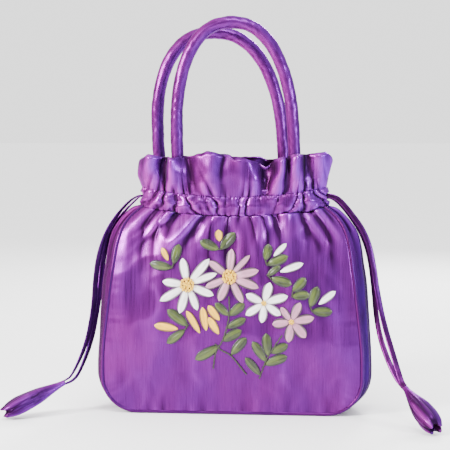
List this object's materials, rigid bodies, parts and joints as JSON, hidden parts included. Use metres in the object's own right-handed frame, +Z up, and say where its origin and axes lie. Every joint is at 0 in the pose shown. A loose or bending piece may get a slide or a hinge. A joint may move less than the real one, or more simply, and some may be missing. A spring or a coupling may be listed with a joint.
{
  "type": "reticule",
  "caption": "Small drawstring handbag of satin with two arched tube handles, a gathered neck with a ruffle, tasselled cords and a spray of ribbon flowers on the front.",
  "frame": {"origin": "centre of the box around the bag without its cords and tassels, at the height of the flat bottom it stands on", "axes": "+X to the right across the width, -Y towards the embroidered front, +Z up towards the handles"},
  "size_m": [0.3545, 0.1308, 0.3284],
  "materials": {
    "purple_satin": "satin",
    "purple_trim": "satin",
    "white_ribbon": "satin",
    "lilac_ribbon": "satin",
    "yellow_ribbon": "satin",
    "green_ribbon": "satin"
  },
  "bodies": {
    "root": {"front_panel": "purple_satin", "back_panel": "purple_satin", "gusset": "purple_satin", "casing": "purple_satin", "ruffle": "purple_satin", "front_handle": "purple_satin", "back_handle": "purple_satin", "front_piping": "purple_trim", "back_piping": "purple_trim", "left_strand_front": "purple_trim", "left_strand_back": "purple_trim", "right_strand_front": "purple_trim", "right_strand_back": "purple_trim", "left_tassel": "purple_trim", "right_tassel": "purple_trim", "white_daisy_petals": "white_ribbon", "white_blossom_petals": "white_ribbon", "white_bud_1": "white_ribbon", "white_bud_2": "white_ribbon", "white_bud_3": "white_ribbon", "lilac_daisy_petals": "lilac_ribbon", "lilac_blossom_petals": "lilac_ribbon", "white_daisy_knots": "yellow_ribbon", "lilac_daisy_knots": "yellow_ribbon", "white_blossom_knots": "yellow_ribbon", "lilac_blossom_knots": "yellow_ribbon", "yellow_bud_1": "yellow_ribbon", "yellow_bud_2": "yellow_ribbon", "yellow_bud_3": "yellow_ribbon", "yellow_bud_4": "yellow_ribbon", "yellow_bud_5": "yellow_ribbon", "yellow_bud_6": "yellow_ribbon", "yellow_bud_7": "yellow_ribbon", "leaf_sprig_1": "green_ribbon", "leaf_sprig_2": "green_ribbon", "leaf_sprig_3": "green_ribbon", "leaf_sprig_4": "green_ribbon", "leaf_sprig_5": "green_ribbon", "leaf_sprig_6": "green_ribbon", "leaf_sprig_7": "green_ribbon", "main_spray": "green_ribbon", "right_spray": "green_ribbon"}
  },
  "joints": []
}
